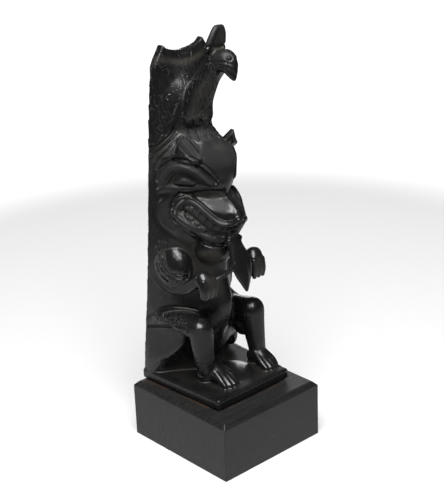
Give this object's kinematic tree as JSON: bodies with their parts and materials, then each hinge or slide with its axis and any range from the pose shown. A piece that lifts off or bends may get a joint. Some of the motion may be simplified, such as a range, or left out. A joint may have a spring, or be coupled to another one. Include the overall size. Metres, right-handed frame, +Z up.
{
  "type": "totem pole",
  "caption": "Small carved black stone totem figure of a bird standing on a seated bear's head, cut in one with its slab, on a separate square-edged plinth with chamfered top edges.",
  "frame": {"origin": "centre of the plinth's underside, on the table", "axes": "+Z up the pole, -Y towards the front of the figures, +X to the right seen from the front"},
  "size_m": [0.07, 0.074, 0.231],
  "materials": {
    "polished_stone": "polished black stone, duller in the recesses",
    "stained_wood": "satin black stain"
  },
  "bodies": {
    "root": {"carved_pole": "polished_stone", "plinth": "stained_wood"}
  },
  "joints": []
}
